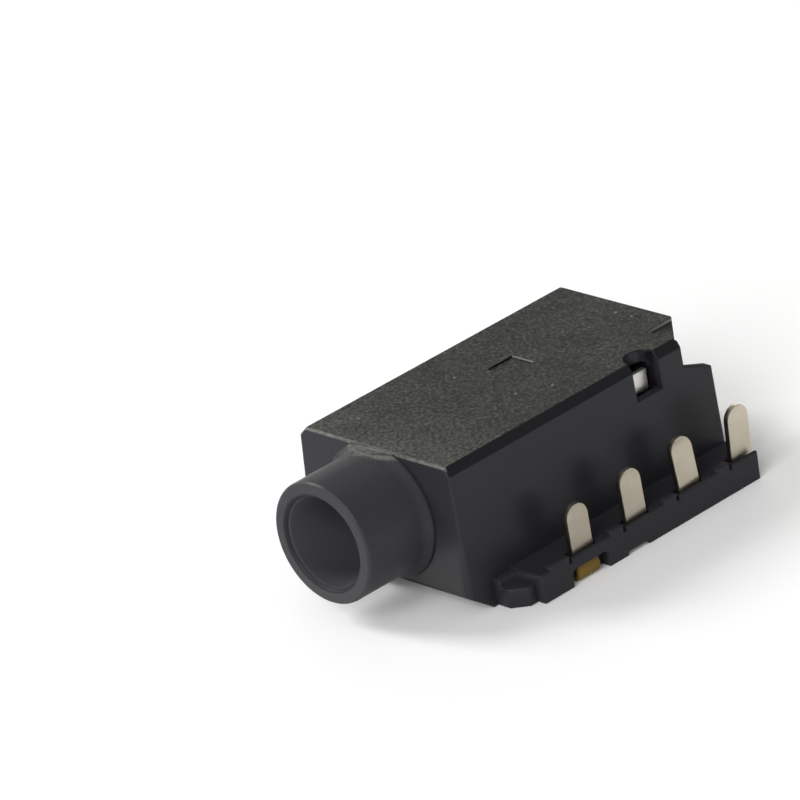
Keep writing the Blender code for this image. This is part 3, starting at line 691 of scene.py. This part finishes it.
def top_colour(tree, where, place, mask, fine, coarse):
    """Warm grain of the spark-eroded top, paler towards the front, with a painted highlight on
    its rounded edges and the collar's crest, and painted light on the corner pad's step.
    """
    cloud = noise(tree, where, CLOUD_NOISE)
    grain = plus(
        tree,
        ramp(tree, fine, FINE_SPAN, FINE_TONES),
        ramp(tree, coarse, COARSE_SPAN, COARSE_TONES),
        ramp(tree, cloud, CLOUD_SPAN, CLOUD_TONES),
        ramp(tree, place["Y"], PALE_FRONT, PALE_FRONT_TONES),
    )
    grain = maths(tree, "MAXIMUM", grain, DARKEST_GRAIN)
    # Painted highlight on the rounded edges and the crest
    grain = mix_value(tree, mask.rubbed, grain, plus(tree, grain, HIGHLIGHT_TONE))
    # Painted light on the corner pad's step wall, which lies in shade
    grain = plus(tree, grain, times(tree, mask.step, PAD_STEP_PAINTED_LIGHT))
    grain = mix_value(tree, speck_mask(tree, where), grain, SPECK_TONE)
    hue = noise(tree, where, HUE_NOISE)
    return tone_colour(
        tree, grain, grain, times(tree, grain, ramp(tree, hue, HUE_SPAN, HUE_BLUES))
    )


def wall_colour(tree, place, turn, mask, barrel, fine):
    """Black of the walls and the barrel, the barrel paler as painted light, with painted shade
    on the slanted edge, painted bounce light low in front and a painted sheen on the barrel.
    """
    # The barrel painted paler than the walls as light
    colour = mix_colour(tree, barrel, paint("moulding"), paint("barrel"))
    # Painted shade on the slanted edge
    colour = mix_colour(tree, mask.slant_shade, colour, paint("slant_shade"))
    # Painted bounce light low on the front face, as if from the white table
    bounce_mask = times(
        tree,
        fall(tree, turn["Y"], BOUNCE_TURN),
        ramp(tree, place["Z"], BOUNCE_HEIGHT, (BOUNCE_SHARE, 0.0)),
        fall(tree, maths(tree, "ABSOLUTE", place["X"]), BOUNCE_SIDE),
    )
    colour = mix_colour(tree, bounce_mask, colour, paint("painted_bounce"))
    # Painted sheen on the barrel's upper left, where the rim light falls
    sheen = times(
        tree,
        barrel,
        ramp(tree, turn["X"], SHEEN_TURN, (SHEEN_SHARE, 0.0)),
        ramp(tree, turn["Z"], SHEEN_RISE),
    )
    tone = ramp(tree, fine, SHEEN_SPAN, SHEEN_TONES)
    return mix_colour(tree, sheen, colour, tone_colour(tree, tone, tone, tone))


def moulding_material():
    """Black moulding: satin walls, a matt bore in painted light, a spark-eroded grain on the
    top, and painted highlights and shade on edges and walls.
    """
    material, tree, shader = new_material("Moulded plastic")
    where, place, turn = surface(tree)
    mask = top_masks(tree, place, turn)
    barrel = fall(tree, place["Y"], BARREL_ROOT)
    inside, lip, height_in_bore = bore_masks(tree, place, barrel)
    window = window_mask(tree, place, turn)
    mark_front_highlight, mark_side_shade = mark_masks(tree, place, turn, mask)
    drawn = add_node(
        tree,
        "ShaderNodeMapping",
        {
            "Vector": where,
            "Rotation": (0.0, 0.0, GRAIN_TURN),
            "Scale": (GRAIN_STRETCH, 1.0, 1.0),
        },
        vector_type="TEXTURE",
    ).outputs[0]
    fine = noise(tree, drawn, FINE_NOISE)
    coarse = noise(tree, drawn, COARSE_NOISE)

    walls = wall_colour(tree, place, turn, mask, barrel, fine)
    grained = top_colour(tree, where, place, mask, fine, coarse)
    # Painted light in the bore, paler towards its top
    bore = mix_colour(tree, height_in_bore, paint("bore_light_low"), paint("bore_light_high"))
    # The grain, with its painted highlight, covers the top
    colour = mix_colour(tree, maths(tree, "MAXIMUM", mask.top, mask.rubbed), walls, grained)
    for share, over in (
        # Painted highlight and shade on the mark's walls, painted light in the bore, the dark
        # lead-in, and painted shade in the window
        (mark_front_highlight, paint("mark_front_highlight")),
        (mark_side_shade, paint("mark_side_shade")),
        (inside, bore),
        (lip, paint("lip")),
        (window, paint("window")),
    ):
        colour = mix_colour(tree, share, colour, over)
    tree.links.new(colour, shader.inputs["Base Color"])

    smudge = noise(tree, where, SMUDGE_NOISE)
    satin = plus(
        tree,
        ramp(tree, smudge, SMUDGE_SPAN, SMUDGE_ROUGHNESS),
        times(tree, barrel, BARREL_ROUGHER),
        times(tree, mask.upward, UPWARD_ROUGHER),
        times(
            tree,
            ramp(tree, turn["Z"], LEDGE_RISE, (0.0, LEDGE_ROUGHER)),
            ramp(tree, place["Y"], REAR_LEDGE),
        ),
        times(tree, inside, BORE_ROUGHER),
    )
    matt = ramp(tree, coarse, MATT_SPAN, MATT_ROUGHNESS)
    tree.links.new(mix_value(tree, mask.top, satin, matt), shader.inputs["Roughness"])

    grit = plus(tree, fine, times(tree, coarse, COARSE_RELIEF))
    calm = times(tree, fine, plus(tree, times(tree, barrel, BARREL_RELIEF), WALL_RELIEF))
    height = mix_value(tree, mask.top, calm, grit)
    add_relief(tree, shader, height, MOULDING_BUMP, MOULDING_RELIEF)
    shader.inputs["IOR"].default_value = PLASTIC_IOR
    shader.inputs["Specular IOR Level"].default_value = PLASTIC_GLOSS
    return material


def strip_material(name, metal):
    """Strip of a metal: mottled faces; dull cut edges darkened with painted shade, and paler
    with a painted highlight where they face the rear; a painted highlight on the upper end;
    painted light growing towards the rear tabs; and bare metal low under the wing, darkened
    with painted shade.
    """
    material, tree, shader = new_material(name)
    where, place, turn = surface(tree)
    stretched = add_node(tree, "ShaderNodeMapping", {"Vector": where, "Scale": ROLLED_STRETCH})
    rolled = noise(tree, stretched.outputs[0], ROLLED_NOISE)
    mottle = noise(tree, where, MOTTLE_NOISE)

    dull = ramp(tree, mottle, MOTTLE_SPAN, TARNISH_SHARES)
    colour = mix_colour(tree, dull, paint(metal), paint(metal + "_tarnish"))
    # Painted light that grows from the front tab to the rear one
    colour = mix_colour(
        tree,
        ramp(tree, place["Y"], (SIDE_PLACES[0], REAR_PLACE)),
        scaled(tree, colour, FIRST_TAB_PAINTED_LIGHT),
        scaled(tree, colour, LAST_TAB_PAINTED_LIGHT),
    )
    # Cut edges: their own dull colour, darkened with painted shade
    cut = ramp(tree, maths(tree, "ABSOLUTE", turn["Y"]), CUT_TURN)
    colour = mix_colour(tree, cut, colour, paint("shaded_cut_edge"))
    # Painted highlight on the upper end of the strip
    colour = mix_colour(tree, ramp(tree, place["Z"], HEAD_FOOT), colour, paint(metal + "_head"))
    # Bare metal under the wing, darkened with painted shade
    low = fall(tree, place["Z"], LOW_PART)
    colour = mix_colour(tree, low, colour, paint(metal + "_low"))
    flush = times(
        tree,
        ramp(tree, place["Y"], FLUSH_START, (0.0, FLUSH_SHARE)),
        ramp(tree, place["X"], FLUSH_SIDE),
        ramp(tree, place["Z"], FLUSH_FOOT),
        fall(tree, place["Z"], FLUSH_TOP),
    )
    # Painted highlight on the cut edges that face the rear, with the real copper flush over it
    rear_edge = mix_colour(tree, flush, paint(metal + "_rear"), paint("copper"))
    behind = times(tree, cut, ramp(tree, turn["Y"], REAR_TURN))
    colour = mix_colour(tree, behind, colour, rear_edge)
    tree.links.new(colour, shader.inputs["Base Color"])
    tree.links.new(ramp(tree, low, (0.0, 1.0), (1.0, LOW_METAL)), shader.inputs["Metallic"])
    rough = ramp(tree, rolled, ROLLED_SPAN, STRIP_ROUGHNESS)
    tree.links.new(mix_value(tree, low, rough, LOW_ROUGHNESS), shader.inputs["Roughness"])
    height = plus(tree, rolled, times(tree, mottle, MOTTLE_RELIEF))
    add_relief(tree, shader, height, STRIP_BUMP, STRIP_RELIEF)
    return material


def tinned_metal():
    """The tinned strip's material, made once."""
    return bpy.data.materials.get("Tinned strip") or strip_material("Tinned strip", "tin")


def bare_metal():
    """The bare strip's material, made once."""
    return bpy.data.materials.get("Bare strip") or strip_material("Bare strip", "brass")


def floor_material():
    """Pale table top that looks white where it is seen directly."""
    material, tree, shader = new_material("Pale table")
    grain = noise(tree, position_mm(tree), FLOOR_NOISE)
    rays = add_node(tree, "ShaderNodeLightPath").outputs
    seen = maths(tree, "MAXIMUM", rays["Is Camera Ray"], rays["Is Glossy Ray"])
    white = mix_colour(tree, grain, *FLOOR_WHITES)
    tree.links.new(mix_colour(tree, seen, paint("floor"), white), shader.inputs["Base Color"])
    shader.inputs["Roughness"].default_value = FLOOR_ROUGHNESS
    shader.inputs["Specular IOR Level"].default_value = 0.0
    shader.inputs["Emission Color"].default_value = (1.0, 1.0, 1.0, 1.0)
    glow = times(tree, rays["Is Camera Ray"], FLOOR_GLOW)
    tree.links.new(glow, shader.inputs["Emission Strength"])
    return material


# Shapes

def place_object(name, data):
    """An object at the origin, linked to the scene."""
    obj = bpy.data.objects.new(name, data)
    bpy.context.scene.collection.objects.link(obj)
    return obj


def new_piece(name, mesh, material, node):
    """Links a finished mesh at the origin, attaches it to the body and hides the node it stands
    for.
    """
    piece = place_object(name, mesh)
    mesh.materials.clear()
    mesh.materials.append(material)
    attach(piece, BODY)
    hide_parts(node)
    return piece


def bake(obj, name):
    """The evaluated mesh of an object, which is then removed."""
    bpy.context.view_layer.update()
    graph = bpy.context.evaluated_depsgraph_get()
    mesh = bpy.data.meshes.new_from_object(obj.evaluated_get(graph))
    mesh.name = name
    bpy.data.objects.remove(obj, do_unlink=True)
    return mesh


def edge_room(edge):
    """Length that an edge's rounding can take up beside it."""
    room = edge.calc_length()
    for vertex in edge.verts:
        for other in vertex.link_edges:
            if other is not edge and other.calc_length() < room:
                room = other.calc_length()
    for face in edge.link_faces:
        room = min(room, face.calc_area() / edge.calc_length())
    return room


def soften(obj, radius, steps, least_angle, fitted=False):
    """Rounds an object's outer edges; fitted keeps each within its short neighbours."""
    shape = bmesh.new()
    shape.from_mesh(obj.data)
    layer = shape.edges.layers.float.new("bevel_weight_edge")
    sharp = [
        edge
        for edge in shape.edges
        if edge.is_convex
        and len(edge.link_faces) == 2
        and edge.calc_face_angle(0.0) > least_angle
    ]
    for edge in sharp:
        share = NEIGHBOUR_SHARE * edge_room(edge) / radius if fitted else 1.0
        edge[layer] = min(1.0, share) if share >= LEAST_ROUNDING else 0.0
    shape.to_mesh(obj.data)
    shape.free()
    bevel = obj.modifiers.new("Rounding", "BEVEL")
    bevel.width = radius
    bevel.segments = steps
    bevel.limit_method = "WEIGHT"
    bevel.use_clamp_overlap = False
    bevel.miter_outer = "MITER_SHARP"
    bevel.face_strength_mode = "FSTR_ALL"


def level_normals(mesh, name):
    """Shades a mesh smooth across its rounded edges, with its flat faces kept flat."""
    mesh.shade_smooth()
    mesh.set_sharp_from_angle(angle=SMOOTH_ANGLE)
    obj = place_object("levelled_" + name, mesh)
    level = obj.modifiers.new("Level", "WEIGHTED_NORMAL")
    level.keep_sharp = True
    level.use_face_influence = True
    level.weight = FLAT_FACE_WEIGHT
    return bake(obj, name)


def strip_tree():
    """Node group that turns a bent line of points into a strip of varying width."""
    tree = bpy.data.node_groups.new("Bent strip", "GeometryNodeTree")
    for name, kind in (
        ("Line", "NodeSocketGeometry"),
        ("Across", "NodeSocketVector"),
        ("Bend steps", "NodeSocketInt"),
        ("Metal", "NodeSocketMaterial"),
    ):
        tree.interface.new_socket(name, in_out="INPUT", socket_type=kind)
    tree.interface.new_socket("Strip", in_out="OUTPUT", socket_type="NodeSocketGeometry")
    given = add_node(tree, "NodeGroupInput").outputs
    half = add_node(tree, "GeometryNodeInputNamedAttribute", {"Name": "half_width"}).outputs[0]
    bend = add_node(tree, "GeometryNodeInputNamedAttribute", {"Name": "bend"}).outputs[0]
    line = add_node(tree, "GeometryNodeMeshToCurve", {"Mesh": given["Line"]}).outputs[0]
    bent = add_node(
        tree,
        "GeometryNodeFilletCurve",
        {"Curve": line, "Count": given["Bend steps"], "Radius": bend, "Limit Radius": True},
        mode="POLY",
    ).outputs[0]
    wire = add_node(tree, "GeometryNodeCurveToMesh", {"Curve": bent}).outputs[0]
    reach = scaled(tree, given["Across"], half)
    one_side = add_node(
        tree,
        "GeometryNodeSetPosition",
        {"Geometry": wire, "Offset": scaled(tree, reach, -1.0)},
    ).outputs[0]
    drawn = add_node(
        tree,
        "GeometryNodeExtrudeMesh",
        {"Mesh": one_side, "Offset Scale": 0.0},
        mode="EDGES",
    ).outputs
    other_side = add_node(
        tree,
        "GeometryNodeSetPosition",
        {
            "Geometry": drawn["Mesh"],
            "Selection": drawn["Top"],
            "Offset": scaled(tree, reach, 2.0),
        },
    ).outputs[0]
    merged = add_node(
        tree,
        "GeometryNodeMergeByDistance",
        {"Geometry": other_side, "Distance": SAME_STRIP_PLACE * MM},
    ).outputs[0]
    real = add_node(tree, "GeometryNodeRealizeInstances", {"Geometry": merged}).outputs[0]
    done = add_node(
        tree, "GeometryNodeSetMaterial", {"Geometry": real, "Material": given["Metal"]}
    ).outputs[0]
    add_node(tree, "NodeGroupOutput", {"Strip": done})
    return tree


def bent_strip(name, points, across, thickness, metal):
    """Strip through points of place, half a width and bend radius, spread along an axis."""
    mesh = bpy.data.meshes.new(name)
    mesh.from_pydata(
        [place for place, half, bend in points],
        [(index, index + 1) for index in range(len(points) - 1)],
        [],
    )
    for label, column in (("half_width", 1), ("bend", 2)):
        layer = mesh.attributes.new(label, "FLOAT", "POINT")
        for index, point in enumerate(points):
            layer.data[index].value = point[column]
    obj = place_object(name, mesh)
    tree = bpy.data.node_groups.get("Bent strip") or strip_tree()
    sweep = obj.modifiers.new("Strip", "NODES")
    sweep.node_group = tree
    values = {"Across": across, "Bend steps": sizes().bend_steps, "Metal": metal}
    for socket in tree.interface.items_tree:
        if socket.in_out == "INPUT" and socket.name in values:
            sweep[socket.identifier] = values[socket.name]
    solid = obj.modifiers.new("Thickness", "SOLIDIFY")
    solid.thickness = thickness
    solid.offset = 0.0
    solid.use_even_offset = True
    return obj


def tab_points(line, place_y):
    """Points of a solder tab: its full-round end in fine steps, then the line's own points."""
    half = sizes().strip_width / 2
    places = [Vector((x * MM, place_y * MM, z * MM)) for x, z in line]
    down = (places[1] - places[0]).normalized()
    points = []
    for step in range(TAB_END_STEPS + 1):
        angle = TAB_END_ANGLE * (1 - step / TAB_END_STEPS)
        points.append(
            (places[0] + down * half * (1 - math.sin(angle)), half * math.cos(angle), 0.0)
        )
    points += [(place, half, sizes().bend_radius) for place in places[1:]]
    return points


def inner_points(line, place_y, neck=math.inf, head_width=0.0):
    """Points of the strip inside the housing, narrower above a neck."""
    full = sizes().strip_width / 2
    points = []
    for x, z in line:
        half = full if z < neck else head_width * MM / 2
        place = Vector((x * MM, place_y * MM - full + half, z * MM))
        points.append((place, half, sizes().kink_radius))
    return points


def arm_points(line, height, width):
    """Points of a flat arm, drawn in X and Y at a height."""
    return [
        (Vector((x * MM, y * MM, height * MM)), width * MM / 2, sizes().bend_radius)
        for x, y in line
    ]


def upright_strip(name, points, metal):
    """Strip of the full thickness whose width lies along Y."""
    return bent_strip(name, points, (0, 1, 0), sizes().strip_thickness, metal)


def flat_arm(name, points, metal):
    """Thinner strip whose width lies along Z."""
    return bent_strip(name, points, (0, 0, 1), ARM_THICKNESS * MM, metal)


def finish_strip(node, strips, metal):
    """Joins the strips of a contact, breaks their edges and puts them in the node's place."""
    whole, *rest = strips
    for strip in rest:
        join = whole.modifiers.new("Join", "BOOLEAN")
        join.operation = "UNION"
        join.solver = "EXACT"
        join.object = strip
    name = node + "_strip"
    mesh = bake(whole, name)
    for strip in rest:
        bpy.data.objects.remove(strip, do_unlink=True)
    if not mesh.polygons:
        raise RuntimeError(node + " came out empty")
    drawn = place_object("drawn_" + node, mesh)
    soften(drawn, sizes().strip_edge, STRIP_EDGE_STEPS, STRIP_EDGE_ANGLE)
    new_piece(name, level_normals(bake(drawn, name), name), metal, node)


class SOCKET_OT_housing(bpy.types.Operator):
    """Makes the moulded housing with its rounded edges"""

    bl_idname = "socket.housing"
    bl_label = "Housing"

    def execute(self, context):
        source = frame["nodes"]["housing"]
        shape = bmesh.new()
        shape.from_mesh(source.data)
        bmesh.ops.remove_doubles(shape, verts=shape.verts, dist=SAME_PLACE * MM)
        bmesh.ops.dissolve_limit(
            shape, angle_limit=FLAT_ANGLE, verts=shape.verts, edges=shape.edges
        )
        name = "moulded_housing"
        mesh = bpy.data.meshes.new(name)
        shape.to_mesh(mesh)
        shape.free()
        drawn = place_object("drawn_housing", mesh)
        soften(
            drawn, sizes().edge_radius, sizes().edge_steps, MOULDED_EDGE_ANGLE, fitted=True
        )
        mesh = level_normals(bake(drawn, name), name)
        new_piece(name, mesh, moulding_material(), "housing")
        return {"FINISHED"}


class SOCKET_OT_side_contacts(bpy.types.Operator):
    """Makes the three sprung contacts along the right side"""

    bl_idname = "socket.side_contacts"
    bl_label = "Side contacts"

    def execute(self, context):
        metal = tinned_metal()
        for number, (place_y, line) in enumerate(zip(SIDE_PLACES, SIDE_LINES), 1):
            node = f"side_contact_{number}"
            points = tab_points(line, place_y) + inner_points(SIDE_SPRING, place_y)
            finish_strip(node, [upright_strip(node, points, metal)], metal)
        return {"FINISHED"}


class SOCKET_OT_rear_contact(bpy.types.Operator):
    """Makes the contact at the right rear corner with its hooked head"""

    bl_idname = "socket.rear_contact"
    bl_label = "Rear contact"

    def execute(self, context):
        metal = tinned_metal()
        points = tab_points(REAR_LINE, REAR_PLACE)
        points += inner_points(REAR_HEAD, REAR_PLACE, REAR_NECK, REAR_HEAD_WIDTH)
        strip = upright_strip("rear_contact", points, metal)
        finish_strip("rear_contact", [strip], metal)
        return {"FINISHED"}


class SOCKET_OT_left_contacts(bpy.types.Operator):
    """Makes the tip contact with its arm, and the switch contact with its leaf"""

    bl_idname = "socket.left_contacts"
    bl_label = "Left contacts"

    def execute(self, context):
        metal = bare_metal()
        points = tab_points(LEFT_TAB, REAR_PLACE) + inner_points(TIP_WAVE, REAR_PLACE)
        strip = upright_strip("tip_contact", points, metal)
        arm = flat_arm("tip_arm", arm_points(TIP_ARM, BORE_AXIS, TIP_ARM_WIDTH), metal)
        finish_strip("tip_contact", [strip, arm], metal)

        station = SIDE_PLACES[2]
        points = tab_points(LEFT_TAB, station) + inner_points(SWITCH_LEG, station)
        strip = upright_strip("switch_contact", points, metal)
        points = arm_points(SWITCH_BRIDGE, SWITCH_BRIDGE_HEIGHT, SWITCH_BRIDGE_WIDTH)
        bridge = flat_arm("switch_bridge", points, metal)
        leaf = upright_strip("switch_leaf", inner_points(SWITCH_LEAF, REAR_PLACE), metal)
        finish_strip("switch_contact", [strip, bridge, leaf], metal)
        return {"FINISHED"}


# Stage

TABLE_RADIUS = 3.0
TABLE_SIDES = 96
STUDIO_LEVELS = (0.3, 1.0)
WHITE = (1.0, 1.0, 1.0)

# Softboxes round the socket: place, width, power and tint
SOFTBOXES = {
    "key_softbox": ((-0.48, -0.28, 0.43), 0.25, 2.8, WHITE),
    "fill_softbox": ((0.22, -0.58, 0.4), 0.4, 3.4, WHITE),
    "rim_softbox": ((-0.53, 0.47, 0.2), 0.5, 1.1, (1.0, 0.97, 0.86)),
}

CAMERA_PLACE = Vector((173.199, -159.041, 112.436)) * MM
CAMERA_RIGHT = Vector((0.706288, 0.694437, -0.137546))
CAMERA_UP = Vector((-0.202504, 0.384361, 0.900701))
CAMERA_BACK = Vector((0.678348, -0.608301, 0.412094))
CAMERA_LENS = 313.69
CAMERA_SENSOR = 36.0
CAMERA_CLIP = (0.01, 10.0)


def add_table():
    """Round table top under the socket."""
    shape = bmesh.new()
    bmesh.ops.create_circle(shape, cap_ends=True, segments=TABLE_SIDES, radius=TABLE_RADIUS)
    mesh = bpy.data.meshes.new("table_top")
    shape.to_mesh(mesh)
    shape.free()
    mesh.materials.append(floor_material())
    place_object("table_top", mesh)


def add_studio():
    """Even light from all round, white where it is seen directly."""
    world = bpy.data.worlds.new("Studio")
    bpy.context.scene.world = world
    world.use_nodes = True
    tree = world.node_tree
    background = tree.nodes["Background"]
    rays = add_node(tree, "ShaderNodeLightPath").outputs
    level = ramp(tree, rays["Is Camera Ray"], (0.0, 1.0), STUDIO_LEVELS)
    tree.links.new(level, background.inputs["Strength"])
    background.inputs["Color"].default_value = (*WHITE, 1.0)


def add_softbox(name, place, width, power, tint):
    """Square softbox turned towards the socket."""
    data = bpy.data.lights.new(name, "AREA")
    data.shape = "SQUARE"
    data.size = width
    data.energy = power
    data.color = tint
    light = place_object(name, data)
    light.location = place
    light.rotation_euler = Vector(place).to_track_quat("Z", "Y").to_euler()


def add_camera():
    """Camera at the photo's place."""
    data = bpy.data.cameras.new("photo_camera")
    data.sensor_width = CAMERA_SENSOR
    data.lens = CAMERA_LENS
    data.clip_start, data.clip_end = CAMERA_CLIP
    camera = place_object("photo_camera", data)
    turn = Matrix((CAMERA_RIGHT, CAMERA_UP, CAMERA_BACK)).transposed().to_4x4()
    camera.matrix_world = Matrix.Translation(CAMERA_PLACE) @ turn
    bpy.context.scene.camera = camera


class SOCKET_OT_stage(bpy.types.Operator):
    """Sets the pale table, the soft lights and the camera"""

    bl_idname = "socket.stage"
    bl_label = "Stage"

    def execute(self, context):
        add_table()
        add_studio()
        for name, settings in SOFTBOXES.items():
            add_softbox(name, *settings)
        add_camera()
        context.scene.view_settings.view_transform = "Standard"
        return {"FINISHED"}


class SOCKET_PT_panel(bpy.types.Panel):
    """Lists the socket's pieces and settings"""

    bl_idname = "SOCKET_PT_panel"
    bl_label = "Audio jack socket"
    bl_space_type = "VIEW_3D"
    bl_region_type = "UI"
    bl_category = "Socket"

    def draw(self, context):
        column = self.layout.column()
        for settings in (sizes(), colours()):
            for name in settings.__annotations__:
                column.prop(settings, name)
        for operator in OPERATORS:
            column.operator(operator.bl_idname)


OPERATORS = (
    SOCKET_OT_housing,
    SOCKET_OT_side_contacts,
    SOCKET_OT_rear_contact,
    SOCKET_OT_left_contacts,
    SOCKET_OT_stage,
)
CLASSES = (SocketSizes, SocketColours, *OPERATORS, SOCKET_PT_panel)


def register():
    """Registers the classes and their settings."""
    for kind in CLASSES:
        bpy.utils.register_class(kind)
    bpy.types.Scene.socket_sizes = PointerProperty(type=SocketSizes)
    bpy.types.Scene.socket_colours = PointerProperty(type=SocketColours)


def unregister():
    """Takes the classes and their settings away again."""
    del bpy.types.Scene.socket_colours
    del bpy.types.Scene.socket_sizes
    for kind in reversed(CLASSES):
        bpy.utils.unregister_class(kind)


def main():
    """Makes every piece and the stage."""
    register()
    bpy.ops.socket.housing()
    bpy.ops.socket.side_contacts()
    bpy.ops.socket.rear_contact()
    bpy.ops.socket.left_contacts()
    bpy.ops.socket.stage()
    bpy.context.view_layer.update()


if __name__ == "__main__":
    main()
